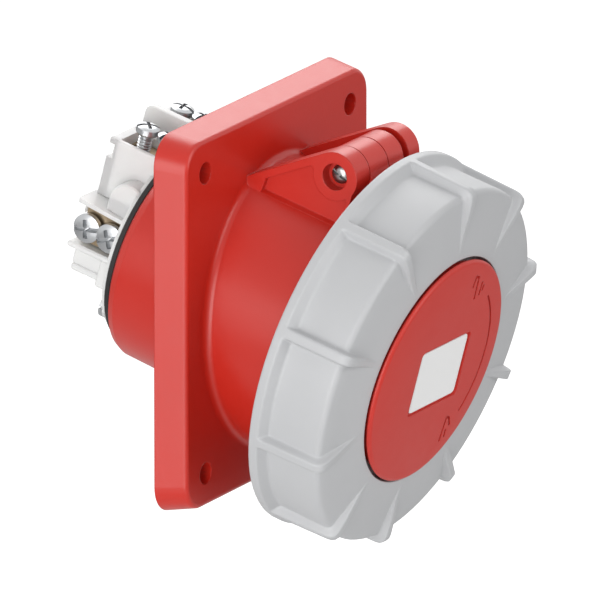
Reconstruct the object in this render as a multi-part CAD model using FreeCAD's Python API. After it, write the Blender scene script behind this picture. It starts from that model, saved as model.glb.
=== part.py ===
import FreeCAD, Part
import math
import os

os.makedirs("parts", exist_ok=True)

# Driving dimensions, in mm and degrees
tilt = 15.0
flangeWide = 100.0
flangeHigh = 107.0
flangeThick = 9.4
flangeDraft = 1.8
flangeCorner = 8.5
plateThick = 4.0
rimWide = 5.0
holeAcross = 77.0
holeUp = 85.0
holeR = 3.1

collarR = 38.5
wellR = 35.5
mouthS = 50.0
floorS = 4.0
lugR = 45.4
lugFrom = 42.0
lugTo = 46.0
lugStart = -16.0
lugEnd = 8.0

shellR = 32.6
shellRearR = 31.9
shellRear = -26.5
shellBore = 28.6
lipBore = 26.2

hingeS = 25.5
hingeV = 48.3
bossR = 7.0
nearEar = (-16.7, -9.8)
farEar = (11.2, 16.8)
knuckle = (-9.45, 8.3)
pinR = 2.7

ringR = 54.8
ringPanelR = 52.0
ribR = 55.0
ringBore = 49.0
ringRear = 36.5
ringFront = 57.7
ringRound = 3.0
ribFront = 60.0
rampFrom = 37.2
rampTo = 41.3
rampR = 41.8
rampStart = 16.0
rampEnd = 40.0
lockTurn = 30.0
ribCount = 10
hubR = 29.2

coverR = 32.7
coverFront = 61.6
towerR = 28.4
towerFront = 44.0
pinCircle = 18.0


# Helpers. Socket parts are drawn about local Z, the socket's axis, with local Y up the lid
def vec(x, y, z):
    return FreeCAD.Vector(x, y, z)


def turned(shape, angle):
    out = shape.copy()
    out.rotate(vec(0, 0, 0), vec(0, 0, 1), angle)
    return out


def seated(shape):
    out = shape.copy()
    out.rotate(vec(0, 0, 0), vec(1, 0, 0), 90 + tilt)
    return out


# Round holes and shafts carry their seam at an odd angle, clear of the planes of symmetry
def cyl(r, z0, z1, x=0.0, y=0.0):
    out = Part.makeCylinder(r, z1 - z0, vec(x, y, z0))
    out.rotate(vec(x, y, z0), vec(0, 0, 1), 20)
    return out


def rod(r, length, start, way):
    out = Part.makeCylinder(r, length, start, way)
    out.rotate(start, way, 20)
    return out


def pipe(rOut, rIn, z0, z1):
    return cyl(rOut, z0, z1).cut(cyl(rIn, z0 - 1, z1 + 1))


def block(x0, x1, y0, y1, z0, z1):
    return Part.makeBox(x1 - x0, y1 - y0, z1 - z0, vec(x0, y0, z0))


def turning(points):
    wire = Part.makePolygon([vec(r, 0, s) for r, s in points] + [vec(points[0][0], 0, points[0][1])])
    return Part.Face(wire).revolve(vec(0, 0, 0), vec(0, 0, 1), 360)


def sector(rIn, rOut, a0, a1, z0, z1):
    body = Part.makeCylinder(rOut, z1 - z0, vec(0, 0, z0), vec(0, 0, 1), a1 - a0)
    return turned(body, a0).cut(cyl(rIn, z0 - 1, z1 + 1))


def side(points, x0, x1):
    wire = Part.makePolygon([vec(x0, y, z) for y, z in points] + [vec(x0, points[0][0], points[0][1])])
    return Part.Face(wire).extrude(vec(x1 - x0, 0, 0))


def roundedWire(wide, high, corner, y):
    w = wide / 2
    h = high / 2
    c = corner
    k = c * (1 - math.sqrt(0.5))
    spots = [(w, h, 1, 1), (-w, h, -1, 1), (-w, -h, -1, -1), (w, -h, 1, -1)]
    edges = []
    ends = []
    for x, z, sx, sz in spots:
        a = vec(x, y, z - sz * c)
        b = vec(x - sx * c, y, z)
        m = vec(x - sx * k, y, z - sz * k)
        if sx * sz < 0:
            a, b = b, a
        edges.append(Part.Arc(a, m, b).toShape())
        ends.append((a, b))
    full = []
    for i in range(4):
        full.append(edges[i])
        full.append(Part.makeLine(ends[i][1], ends[(i + 1) % 4][0]))
    return Part.Wire(full)


def roundedBox(wide, high, corner, y0, y1):
    face = Part.Face(roundedWire(wide, high, corner, y0))
    return face.extrude(vec(0, y1 - y0, 0))


def save(shape, node):
    shape.exportStep("parts/" + node + ".step")


def place(r, angle):
    return r * math.cos(math.radians(angle)), r * math.sin(math.radians(angle))


# Flange: drafted plate, hollow behind, with a rim, ribs and bosses
rearWire = roundedWire(flangeWide, flangeHigh, flangeCorner, 0)
frontWire = roundedWire(
    flangeWide - 2 * flangeDraft, flangeHigh - 2 * flangeDraft, flangeCorner - 0.8, -flangeThick
)
flange = Part.makeLoft([rearWire, frontWire], True, True)
frontEdges = [e for e in flange.Edges if e.BoundBox.YMax < -flangeThick + 0.01]
flange = flange.makeFillet(1.3, frontEdges)
recess = roundedBox(
    flangeWide - 2 * rimWide, flangeHigh - 2 * rimWide, 5.0, 1.0, -(flangeThick - plateThick)
)
flange = flange.cut(recess)
plateY = -(flangeThick - plateThick)
for sx in (-1, 1):
    for sz in (-1, 1):
        boss = Part.makeCylinder(6.9, -plateY, vec(sx * holeAcross / 2, plateY, sz * holeUp / 2), vec(0, 1, 0))
        flange = flange.fuse(boss)
for angle in (0, 90, 180, 270, 45, 135, 225, 315):
    rib = block(-1.1, 1.1, plateY, -0.6, 30.0, 47.0 if angle in (90, 270) else 50.0)
    rib.rotate(vec(0, 0, 0), vec(0, 1, 0), angle)
    flange = flange.fuse(rib)
sealGroove = roundedBox(flangeWide - 3.4, flangeHigh - 3.4, 6.8, 1.0, -1.6)
sealGroove = sealGroove.cut(roundedBox(flangeWide - 7.6, flangeHigh - 7.6, 4.7, 2.0, -2.6))
flange = flange.cut(sealGroove)

# Collar, rear shell and hinge ears join the flange in one moulding
collarAll = seated(cyl(collarR, -20, mouthS))
frontHalf = block(-80, 80, -120, plateY, -80, 80)
housing = flange.fuse(collarAll.common(frontHalf))
root = [e for e in housing.Edges if e.Length > 60 and abs(e.BoundBox.YMin + flangeThick) < 0.05]
root = [e for e in root if abs(e.BoundBox.YMax + flangeThick) < 0.05 and e.BoundBox.XMax < 40]
housing = housing.makeFillet(2.0, root)
housing = housing.fuse(seated(cyl(collarR, floorS - 3, floorS + 20)))
rearShell = turning([
    (shellBore, floorS), (shellR, floorS), (shellRearR, shellRear + 3.2),
    (shellRearR - 0.8, shellRear + 1.3), (shellRearR - 2.9, shellRear), (lipBore, shellRear),
    (lipBore, shellRear + 3.0), (shellBore, shellRear + 3.0)
])
housing = housing.fuse(seated(rearShell))

hingeY = -math.sin(math.radians(tilt)) * hingeV - math.cos(math.radians(tilt)) * hingeS
hingeZ = math.cos(math.radians(tilt)) * hingeV - math.sin(math.radians(tilt)) * hingeS
earOutline = [
    (plateY, 30.0), (plateY, 34.0), (-10.2, 36.5), (-26.3, 43.2), (-34.6, 46.6),
    (-40.0, 46.2), (-43.9, 41.4), (-43.0, 37.4), (-40.6, 28.6), (-38.0, 20.0)
]
webOutline = [
    (-15.4, 36.4), (-29.6, 42.2), (-36.0, 38.0), (-41.0, 35.6), (-39.6, 29.0), (-36.0, 20.0), (-12.0, 27.0)
]
skin = seated(cyl(collarR + 0.05, -10, mouthS))
for x0, x1, outer, depth in (nearEar + (nearEar[0], 1.5), farEar + (farEar[1], -1.5)):
    ear = side(earOutline, x0, x1)
    disc = Part.makeCylinder(bossR, x1 - x0, vec(x0, hingeY, hingeZ), vec(1, 0, 0))
    ear = ear.fuse(disc)
    web = side(webOutline, outer, outer + depth)
    keep = Part.makeCylinder(bossR - 0.2, 40, vec(-20, hingeY, hingeZ), vec(1, 0, 0))
    ear = ear.cut(web.cut(keep).cut(skin))
    housing = housing.fuse(ear)
housing = housing.cut(Part.makeCylinder(3.8, 3.6, vec(nearEar[0] - 0.1, hingeY, hingeZ), vec(1, 0, 0)))
housing = housing.cut(Part.makeCylinder(pinR, 30, vec(nearEar[0] + 1, hingeY, hingeZ), vec(1, 0, 0)))
housing = housing.fuse(Part.makeCylinder(bossR - 1, 1.6, vec(15.2, hingeY, hingeZ), vec(1, 0, 0)))

for start in (lugStart, lugStart + 180):
    lug = sector(collarR - 1, lugR, start, start + lugEnd - lugStart, lugFrom, lugTo)
    lead = sector(lugR - 1.6, lugR + 2, start - 1, start + 6, lugFrom - 1, lugFrom + 1.4)
    stop = sector(collarR - 1, lugR - 0.6, start - 3.2, start, ringRear + 1, lugTo)
    housing = housing.fuse(seated(lug.cut(lead)))
    housing = housing.fuse(seated(stop))

# The well, its keyways and the four fixing holes
housing = housing.cut(seated(cyl(wellR, floorS, mouthS + 1)))
housing = housing.cut(seated(cyl(shellBore, shellRear + 3, floorS + 1)))
mouthChamfer = turning([(wellR - 1, mouthS + 1), (wellR + 1.9, mouthS + 1), (wellR - 1, mouthS - 1.9)])
housing = housing.cut(seated(mouthChamfer))
mainKey = block(-4.6, 4.6, -wellR - 1.6, -wellR + 2, floorS + 6, mouthS + 1)
sideKey = turned(block(-2.2, 2.2, -wellR - 1.2, -wellR + 2, floorS + 6, mouthS + 1), 105)
housing = housing.cut(seated(mainKey)).cut(seated(sideKey))
for sx in (-1, 1):
    for sz in (-1, 1):
        spot = vec(sx * holeAcross / 2, 2, sz * holeUp / 2)
        housing = housing.cut(Part.makeCylinder(holeR, 16, spot, vec(0, -1, 0)))
housing = housing.removeSplitter()
save(housing, "housing")

# Rubber cord in the flange's rear rim
cord = roundedBox(flangeWide - 3.7, flangeHigh - 3.7, 6.65, 0.0, -1.5)
cord = cord.cut(roundedBox(flangeWide - 7.3, flangeHigh - 7.3, 4.85, 1.0, -2.6))
save(cord, "flange_seal")

# Hinge pin with a domed, slotted head
pinStart = nearEar[0] + 3.6
pin = Part.makeCylinder(pinR - 0.02, 14.2 - pinStart, vec(pinStart, hingeY, hingeZ), vec(1, 0, 0))
dome = Part.makeSphere(4.4, vec(pinStart + 3.0, hingeY, hingeZ))
tip = Part.makeCylinder(pinR - 0.02, 3, vec(pinStart - 1.4, hingeY, hingeZ), vec(1, 0, 0)).common(dome)
pin = pin.fuse(tip)
slot = Part.makeBox(1.5, 6, 0.9, vec(pinStart - 1.6, hingeY - 3, hingeZ - 0.45))
slot.rotate(vec(0, hingeY, hingeZ), vec(1, 0, 0), 20)
pin = pin.cut(slot)
save(pin, "hinge_pin")

# Bayonet ring: rear rim, recessed panels, ten ribs and two inner ramps
coneRise = 59.2 - ringFront
cornerCut = ringRound * (1 - math.sqrt(0.5))
ring = turning([
    (ringBore, ringRear), (ringR - 0.5, ringRear), (ringR, ringRear + 0.6), (ringR, ringRear + 2.6),
    (ringPanelR, ringRear + 4.9), (ringPanelR + 0.1, ringFront - ringRound),
    (ringPanelR + 0.1 - cornerCut, ringFront - cornerCut), (ringPanelR + 0.1 - ringRound, ringFront),
    (34.8, ringFront + coneRise - 0.1), (33.7, ringFront + coneRise - 0.9),
    (33.6, 57.5), (hubR + 0.07, 57.5), (hubR + 0.07, 54.0), (ringBore, 54.0)
])
ribSide = [
    (49.8, 38.2), (ribR - 0.2, 38.2), (ribR, 39.5), (ribR - 0.5, ribFront - 4.2), (ribR - 1.4, ribFront - 1.5),
    (ribR - 3.4, ribFront), (48.0, ribFront), (44.0, 59.6), (37.0, 59.05), (37.0, 57.0), (48.0, 55.5), (49.8, 54.0)
]
ribWire = Part.makePolygon([vec(r, -5, s) for r, s in ribSide] + [vec(ribSide[0][0], -5, ribSide[0][1])])
ribBody = Part.Face(ribWire).extrude(vec(0, 10, 0))
plan = [(36.0, -0.6), (52.0, -1.8), (60.0, -1.9), (60.0, 1.9), (52.0, 1.8), (36.0, 0.6)]
planWire = Part.makePolygon([vec(x, y, 30) for x, y in plan] + [vec(plan[0][0], plan[0][1], 30)])
ribBody = ribBody.common(Part.Face(planWire).extrude(vec(0, 0, 40)))
for i in range(ribCount):
    ring = ring.fuse(turned(ribBody, 90 + i * 360 / ribCount))
for start in (rampStart, rampStart + 180):
    ramp = sector(rampR, ringBore + 0.4, start, start + rampEnd - rampStart, rampFrom, rampTo)
    bevel = sector(rampR - 1, rampR + 1.4, start - 1, start + 5, rampTo - 1.2, rampTo + 1)
    ring = ring.fuse(ramp.cut(bevel))
pegAngle = 270.0
track = sector(39.4, 43.6, pegAngle - 4, pegAngle + lockTurn + 4, 53.0, 55.2)
ring = ring.cut(track)
ring = ring.removeSplitter()
save(seated(ring), "bayonet_ring")

# Lid carrier: knuckle, arm, plate with the seal groove, hub and turn stop
plate = turning([
    (0, 51.0), (46.0, 51.0), (46.5, 51.5), (46.5, 53.2), (46.1, 53.6), (hubR, 53.6), (hubR, 57.2),
    (hubR - 0.4, 57.6), (25.0, 57.6), (25.0, 55.0), (0, 55.0)
])
for start in (rampStart - 3, rampStart + 177):
    plate = plate.cut(sector(41.4, 60, start, start + 30, 45, 60))
plate = plate.cut(pipe(40.6, 34.2, 50, 52.3))
arm = [
    (24.0, 41.35), (47.0, 40.7), (51.2, 41.4), (51.2, 46.2), (36.5, 46.6), (34.2, 47.6),
    (31.6, 51.2), (25.5, 52.0)
]
armWire = Part.makePolygon([vec(knuckle[0], v, s) for s, v in arm] + [vec(knuckle[0], arm[0][1], arm[0][0])])
armBody = Part.Face(armWire).extrude(vec(knuckle[1] - knuckle[0], 0, 0))
barrel = Part.makeCylinder(bossR - 0.05, knuckle[1] - knuckle[0], vec(knuckle[0], hingeV, hingeS), vec(1, 0, 0))
carrier = plate.fuse(armBody).fuse(barrel)
carrier = carrier.fuse(sector(40.2, 42.8, pegAngle - 2, pegAngle + 2, 53.2, 54.9))
for i in range(6):
    web = turned(block(8, 33, -1, 1, 48.6, 51.2), i * 60)
    carrier = carrier.fuse(web)
carrier = carrier.fuse(pipe(9.5, 7.5, 48.6, 51.2))
seam = Part.makeCylinder(bossR + 1, 0.4, vec(0.1, hingeV, hingeS), vec(1, 0, 0))
seam = seam.cut(Part.makeCylinder(bossR - 0.4, 2, vec(-0.5, hingeV, hingeS), vec(1, 0, 0)))
carrier = carrier.cut(seam)
carrier = carrier.cut(Part.makeCylinder(pinR + 0.05, 40, vec(-20, hingeV, hingeS), vec(1, 0, 0)))
carrier = carrier.removeSplitter()
save(seated(carrier), "lid_carrier")

# Rubber ring in the lid, clear of the collar's mouth by a third of a millimetre
lidSeal = turning([
    (34.3, 52.2), (34.3, 50.8), (34.8, 50.32), (40.0, 50.32), (40.5, 50.8), (40.5, 52.2)
])
save(seated(lidSeal), "lid_seal")

# Cover disc with engraved arrows and a seat for the plate
cover = turning([
    (0, 57.8), (coverR - 0.4, 57.8), (coverR, 58.2), (coverR, coverFront - 1.1), (coverR - 0.35, coverFront - 0.4),
    (coverR - 1.2, coverFront), (0, coverFront)
])
cover = cover.fuse(pipe(24.9, 22.6, 55.1, 58))
labelX = 2.1
labelV = -1.5
labelWide = 24.0
labelHigh = 17.6
seat = roundedBox(labelWide + 0.5, labelHigh + 0.5, 1.8, 0, 0.6)
seat.rotate(vec(0, 0, 0), vec(1, 0, 0), 90)
seat.translate(vec(labelX, labelV, coverFront - 0.35))
cover = cover.cut(seat)


def arrow(x, v, turn, bend):
    a0 = 20 if bend > 0 else 200
    shank = sector(3.4, 4.4, a0, a0 + 100, coverFront - 0.3, coverFront + 1)
    ex, ey = place(3.9, a0 + 100)
    head = Part.makePolygon([vec(2.2, 0, 0), vec(-1.6, 1.7, 0), vec(-1.6, -1.7, 0), vec(2.2, 0, 0)])
    point = Part.Face(head).extrude(vec(0, 0, 1.3))
    point.rotate(vec(0, 0, 0), vec(0, 0, 1), a0 + 190)
    point.translate(vec(ex, ey, coverFront - 0.3))
    mark = shank.fuse(point)
    mark.rotate(vec(0, 0, 0), vec(0, 0, 1), turn)
    mark.translate(vec(x, v, 0))
    return mark


cover = cover.cut(arrow(6.5, 21.0, 0, 1))
cover = cover.cut(arrow(12.6, -20.4, 30, -1))
cover = cover.cut(sector(28.2, 28.7, -14, 34, coverFront - 0.25, coverFront + 1))
save(seated(cover), "lid_cover")

label = roundedBox(labelWide, labelHigh, 1.6, 0, 0.45)
label.rotate(vec(0, 0, 0), vec(1, 0, 0), 90)
label.translate(vec(labelX, labelV, coverFront - 0.34))
save(seated(label), "label")

# Contacts: slotted sleeve, stem, link and a terminal with a wire bore and two screw holes
sideScrews = (-33.7, -41.0)
deepScrews = (-31.1, -38.4)
wireR = 3.75
contacts = {
    "contact_l1": dict(
        at=place(pinCircle, 198), sleeve=5.5, bore=4.0, face="left", screws=sideScrews,
        box=(-19.4, -8.6, 0.0, 10.2, -43.2, -31.0), link=(-19.4, -12.2, -9.4, 1.0), wire=(-13.6, 4.8)
    ),
    "contact_l2": dict(
        at=place(pinCircle, 126), sleeve=5.5, bore=4.0, face="up", screws=deepScrews,
        box=(-12.0, -2.8, 14.8, 26.4, -41.4, -28.7), link=(-14.6, -5.0, 10.6, 16.0), wire=(-7.4, 19.4)
    ),
    "contact_l3": dict(
        at=place(pinCircle, 54), sleeve=5.5, bore=4.0, face="up", screws=deepScrews,
        box=(5.7, 14.9, 14.8, 26.4, -41.4, -28.7), link=(6.0, 14.9, 10.6, 16.0), wire=(10.3, 19.4)
    ),
    "contact_n": dict(
        at=place(pinCircle, 342), sleeve=5.5, bore=4.0, face="right", screws=sideScrews,
        box=(8.6, 19.4, 0.0, 10.2, -43.2, -31.0), link=(12.2, 19.4, -9.4, 1.0), wire=(13.6, 4.8)
    ),
    "contact_pe": dict(
        at=place(pinCircle, 270), sleeve=6.5, bore=5.0, face="down", screws=deepScrews,
        box=(2.2, 11.8, -20.6, -9.8, -41.4, -28.7), link=(-4.2, 3.0, -21.4, -14.2), wire=(7.0, -15.2)
    ),
}


def terminalBox(c, g):
    x0, x1, y0, y1, z0, z1 = c["box"]
    return block(x0 - g, x1 + g, y0 - g, y1 + g, z0 - g, z1 + g)


def linkBox(c, g):
    x0, x1, y0, y1 = c["link"]
    return block(x0 - g, x1 + g, y0 - g, y1 + g, -34.0 - g, -30.9 + g)


def screwDir(c):
    return {"left": vec(-1, 0, 0), "right": vec(1, 0, 0), "down": vec(0, -1, 0), "up": vec(0, 1, 0)}[c["face"]]


def sleeveBody(c, g):
    x, y = c["at"]
    body = cyl(c["sleeve"] + g, -20.0 - g, 40.4 + g, x, y)
    return body.fuse(cyl(4.2 + g, -31.2 - g, -19.0, x, y))


for name in contacts:
    c = contacts[name]
    x, y = c["at"]
    solid = sleeveBody(c, 0).fuse(linkBox(c, 0)).fuse(terminalBox(c, 0))
    solid = solid.cut(cyl(c["bore"], 8.0, 41.0, x, y))
    entry = Part.makeCone(c["bore"], c["bore"] + 0.8, 0.9, vec(x, y, 39.6))
    solid = solid.cut(entry)
    for a in (0, 90):
        cut = block(-0.5, 0.5, -9, 9, 18.0, 41.0)
        cut = turned(cut, a + 45)
        cut.translate(vec(x, y, 0))
        solid = solid.cut(cut)
    groove = pipe(9.0, c["sleeve"] - 0.55, 35.0, 37.6)
    groove.translate(vec(x, y, 0))
    solid = solid.cut(groove)
    wx, wy = c["wire"]
    solid = solid.cut(cyl(wireR, c["box"][4] - 1, c["box"][5] - 1.2, wx, wy))
    for s in c["screws"]:
        solid = solid.cut(rod(2.6, 16, vec(wx, wy, s), screwDir(c)))
    contacts[name]["solid"] = solid.removeSplitter()
    save(seated(contacts[name]["solid"]), name)

clips = []
for name in ("contact_l1", "contact_l2", "contact_l3", "contact_n"):
    x, y = contacts[name]["at"]
    clip = Part.makeTorus(5.55, 0.5, vec(x, y, 36.3))
    gap = block(-0.6, 0.6, 4, 8, 34, 39)
    gap.translate(vec(x, y, 0))
    clips.append(seated(clip.cut(gap)))
save(Part.makeCompound(clips), "phase_clips")
x, y = contacts["contact_pe"]["at"]
clip = Part.makeTorus(6.55, 0.5, vec(x, y, 36.3))
save(seated(clip.cut(block(-0.6, 0.6, y + 5, y + 9, 34, 39))), "earth_clip")

# Central pilot sleeve with a small screwed tail
pilot = cyl(3.4, -20.0, 38.0).fuse(cyl(2.6, -31.5, -19.0)).fuse(block(-3.2, 3.2, -3.4, 3.4, -40.5, -31.0))
pilot = pilot.cut(cyl(2.3, 12.0, 39.0))
pilot = pilot.cut(cyl(1.6, -41.5, -34.5))
pilot = pilot.cut(rod(1.35, 6, vec(0, 0, -37.6), vec(0, -1, 0)))
for a in (0, 90):
    pilot = pilot.cut(turned(block(-0.35, 0.35, -5, 5, 22, 39), a))
save(seated(pilot), "pilot_contact")
pilotScrew = rod(1.3, 4.6, vec(0, -1.9, -37.6), vec(0, -1, 0))
pilotHead = rod(2.2, 1.5, vec(0, -5.0, -37.6), vec(0, -1, 0))
pilotHead = pilotHead.cut(block(-0.3, 0.3, -6.6, -5.9, -40, -35))
save(seated(pilotScrew.fuse(pilotHead)), "pilot_screw")

# Contact carrier: the tower, seated on the shell's inner lip
tower = cyl(towerR, shellRear + 3.2, towerFront)
tower = tower.makeChamfer(0.9, [e for e in tower.Edges if e.BoundBox.ZMin > towerFront - 0.1])
for name in contacts:
    c = contacts[name]
    x, y = c["at"]
    tower = tower.cut(cyl(c["sleeve"] + 0.7, -25, 40.9, x, y))
    tower = tower.cut(cyl(c["bore"] + 0.1, 40, 45, x, y))
    tower = tower.cut(Part.makeCone(c["bore"] + 0.1, c["bore"] + 1.1, 1.0, vec(x, y, towerFront - 0.99)))
tower = tower.cut(cyl(3.6, -25, 38.4)).cut(cyl(2.33, 38, 45))
tower = tower.cut(block(-1.6, 1.6, towerR - 2.0, towerR + 1, 10, 45))
carrierScrews = [place(23.6, 222), place(23.6, 318)]
for x, y in carrierScrews:
    tower = tower.cut(cyl(1.95, -24, -8, x, y))
save(seated(tower.removeSplitter()), "contact_carrier")

# Gasket between the rear shell and the insert
gasket = turning([
    (26.4, -28.35), (28.4, -28.35), (28.75, -28.0), (28.75, -26.9), (28.4, -26.55), (26.4, -26.55)
])
save(seated(gasket), "rear_seal")

# White insert with five terminal chambers
insert = cyl(27.9, -29.9, -28.4).fuse(cyl(26.1, -28.5, -23.5))
insert = insert.fuse(block(-14, 14, -11.4, 14, -43.8, -29.5))
for sx in (-1, 1):
    low = min(sx * 12, sx * 22.6)
    insert = insert.fuse(block(low, low + 10.6, -2.2, 12.8, -45.8, -29.5))
    low = min(sx * 10, sx * 17.6)
    insert = insert.fuse(block(low, low + 7.6, -11.4, -1.0, -45.4, -29.5))
    insert = insert.cut(block(low - 1, low + 8.6, -12, -8.6, -36.2, -29.95))
    boss = Part.makeCylinder(5.8, 6.0, vec(min(sx * 13.6, sx * 19.6), 15.2, -32.2), vec(1, 0, 0))
    boss = boss.cut(block(-40, 40, 0, 40, -28.4, -20))
    insert = insert.fuse(boss).fuse(block(min(sx * 13.6, sx * 19.6), max(sx * 13.6, sx * 19.6), 11, 15.2, -38.0, -29.5))
insert = insert.fuse(block(-14.0, -0.8, 12, 29.2, -44.5, -29.5))
insert = insert.cut(block(-20, -0.8, 23.6, 27.9, -46, -42.6))
tall = block(2.6, 17.6, 12, 35.2, -44.5, -29.5)
tall = tall.makeFillet(1.2, [e for e in tall.Edges if e.BoundBox.YMin > 35 and e.BoundBox.YMax < 35.4])
insert = insert.fuse(tall)
insert = insert.fuse(block(0.8, 13.2, -24.0, -9, -42.8, -29.5)).fuse(cyl(6.9, -38.5, -29.5, 0, -18))
leftCut = block(-30, -12, -0.4, 10.6, -44.9, -29.95)
rightCut = block(12, 30, -0.4, 10.6, -44.9, -29.95)
upLeftCut = block(-12.4, -2.4, 14.5, 40, -41.9, -28.0)
upRightCut = block(5.3, 15.3, 14.5, 40, -42.4, -28.0)
downCut = block(1.8, 12.2, -40, -9.4, -42.3, -28.0)
headCut = block(3.0, 11.0, -30, -21.0, -29, -27.2)
pilotCut = block(-3.6, 1.0, -12.4, 3.8, -41.0, -30.6).fuse(block(-3.6, 3.6, -7.4, 3.8, -41.0, -30.6))
for cutter in (leftCut, rightCut, upLeftCut, upRightCut, downCut, headCut, pilotCut):
    insert = insert.cut(cutter)
for name in contacts:
    c = contacts[name]
    insert = insert.cut(terminalBox(c, 0.15)).cut(linkBox(c, 0.15))
    x, y = c["at"]
    insert = insert.cut(cyl(4.4, -31.5, -22.0, x, y))
    wx, wy = c["wire"]
    insert = insert.cut(cyl(wireR + 0.5, -47.0, c["box"][4] + 1, wx, wy))
insert = insert.cut(cyl(2.8, -31.5, -22.0)).cut(cyl(2.2, -47, -40))
for x, y in carrierScrews:
    insert = insert.cut(cyl(2.1, -31, -22, x, y))
    insert = insert.cut(cyl(3.9, -50, -29.9, x, y))
insert = insert.removeSplitter()
save(seated(insert), "terminal_block")


# Pan-head clamp screw with ridged thread and a combined slot and cross
def clampScrew(tipAt, headAt):
    r = 2.5
    points = [(0, tipAt), (1.7, tipAt), (2.1, tipAt + 0.5)]
    z = tipAt + 0.5
    while z + 0.8 < headAt - 0.3:
        points = points + [(r, z + 0.35), (r, z + 0.5), (2.05, z + 0.8)]
        z = z + 0.8
    points = points + [(2.05, headAt), (3.5, headAt), (3.62, headAt + 0.4), (3.55, headAt + 1.7)]
    points = points + [(3.0, headAt + 2.35), (1.9, headAt + 2.6), (0, headAt + 2.65)]
    body = turning(points)
    body = body.cut(block(-4.2, 4.2, -0.55, 0.55, headAt + 1.5, headAt + 3))
    body = body.cut(block(-0.5, 0.5, -2.3, 2.3, headAt + 1.3, headAt + 3))
    return body


def aimed(shape, spot, face, spin):
    out = shape.copy()
    out.rotate(vec(0, 0, 0), vec(0, 0, 1), spin)
    if face == "left":
        out.rotate(vec(0, 0, 0), vec(0, 1, 0), -90)
    if face == "right":
        out.rotate(vec(0, 0, 0), vec(0, 1, 0), 90)
    if face == "up":
        out.rotate(vec(0, 0, 0), vec(1, 0, 0), -90)
    if face == "down":
        out.rotate(vec(0, 0, 0), vec(1, 0, 0), 90)
    out.translate(spot)
    return out


screws = []
reach = {"left": (3.9, 6.6), "right": (3.9, 6.6), "up": (3.9, 14.0), "down": (3.9, 6.4)}
spins = (62, 75, 20, 48, 10, 84, 33, 57, 70, 15)
for name in contacts:
    c = contacts[name]
    wx, wy = c["wire"]
    tipAt, headAt = reach[c["face"]]
    shape = clampScrew(tipAt, headAt)
    for s in c["screws"]:
        screws.append(seated(aimed(shape, vec(wx, wy, s), c["face"], spins[len(screws)])))
save(Part.makeCompound(screws), "terminal_screws")

fixers = []
for x, y in carrierScrews:
    stem = cyl(1.9, -30.0, -10.0, x, y)
    head = cyl(3.4, -32.2, -29.95, x, y).cut(block(x - 4, x + 4, y - 0.4, y + 0.4, -33, -31.3))
    fixers.append(seated(stem.fuse(head)))
save(Part.makeCompound(fixers), "carrier_screws")
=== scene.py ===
import bmesh
import bpy
import math
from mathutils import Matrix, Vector
from mathutils.geometry import delaunay_2d_cdt


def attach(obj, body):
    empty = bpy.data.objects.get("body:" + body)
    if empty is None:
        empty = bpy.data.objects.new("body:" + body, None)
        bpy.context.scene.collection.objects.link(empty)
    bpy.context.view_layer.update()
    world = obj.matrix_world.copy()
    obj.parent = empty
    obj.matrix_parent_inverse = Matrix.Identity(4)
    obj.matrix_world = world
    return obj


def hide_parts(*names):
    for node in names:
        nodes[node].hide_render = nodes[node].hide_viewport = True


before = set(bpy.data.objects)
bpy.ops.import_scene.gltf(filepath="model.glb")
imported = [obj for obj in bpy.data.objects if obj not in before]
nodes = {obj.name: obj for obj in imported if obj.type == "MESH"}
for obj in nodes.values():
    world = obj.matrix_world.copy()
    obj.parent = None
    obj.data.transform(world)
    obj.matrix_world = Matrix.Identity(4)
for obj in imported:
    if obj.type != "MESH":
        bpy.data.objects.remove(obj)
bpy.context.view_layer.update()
bpy.context.scene.view_settings.view_transform = "Standard"
print("frame loaded,", len(nodes), "nodes")


def newObject(name, data):
    made = bpy.data.objects.new(name, data)
    bpy.context.collection.objects.link(made)
    return made


# Puts a camera or a lamp at this angle and distance from the target, facing it
def placeFacing(name, data, azimuth, elevation, distance, target=(0, 0, 0)):
    a = math.radians(azimuth)
    e = math.radians(elevation)
    back = Vector((math.sin(a) * math.cos(e), -math.cos(a) * math.cos(e), math.sin(e)))
    placed = newObject(name, data)
    placed.location = Vector(target) + back * distance
    placed.rotation_mode = "QUATERNION"
    placed.rotation_quaternion = (-back).to_track_quat("-Z", "Y")
    return placed


# Camera: a long lens, looking down at the socket from its left front
shot = {"azimuth": -59.34, "elevation": 16.95, "target": (0.0058, -0.0129, -0.0044), "distance": 5.4507,
        "lens": 1198.6, "sensor": 36.0, "clipStart": 0.5, "clipEnd": 30.0}


def placeCamera(v):
    data = bpy.data.cameras.new("shotCamera")
    data.sensor_width = v["sensor"]
    data.lens = v["lens"]
    data.clip_start = v["clipStart"]
    data.clip_end = v["clipEnd"]
    cam = placeFacing("shotCamera", data, v["azimuth"], v["elevation"], v["distance"], v["target"])
    bpy.context.scene.camera = cam


placeCamera(shot)
print("camera placed")


# Node helpers
def startGroup(name, inputs, outputs):
    group = bpy.data.node_groups.new(name, "ShaderNodeTree")
    for label, kind, value in inputs:
        group.interface.new_socket(name=label, in_out="INPUT", socket_type=kind).default_value = value
    for label, kind in outputs:
        group.interface.new_socket(name=label, in_out="OUTPUT", socket_type=kind)
    return group, group.nodes.new("NodeGroupInput"), group.nodes.new("NodeGroupOutput")


# Sets a socket to a number, or links another socket to it
def feed(tree, value, socket):
    if isinstance(value, (int, float)):
        socket.default_value = value
    else:
        tree.links.new(value, socket)


def mathNode(tree, kind, a, b):
    n = tree.nodes.new("ShaderNodeMath")
    n.operation = kind
    feed(tree, a, n.inputs[0])
    feed(tree, b, n.inputs[1])
    return n.outputs[0]


def noiseNode(tree, where, scale, detail, rough):
    n = tree.nodes.new("ShaderNodeTexNoise")
    n.inputs["Detail"].default_value = detail
    n.inputs["Roughness"].default_value = rough
    tree.links.new(where, n.inputs["Vector"])
    feed(tree, scale, n.inputs["Scale"])
    return n.outputs["Fac"]


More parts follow.
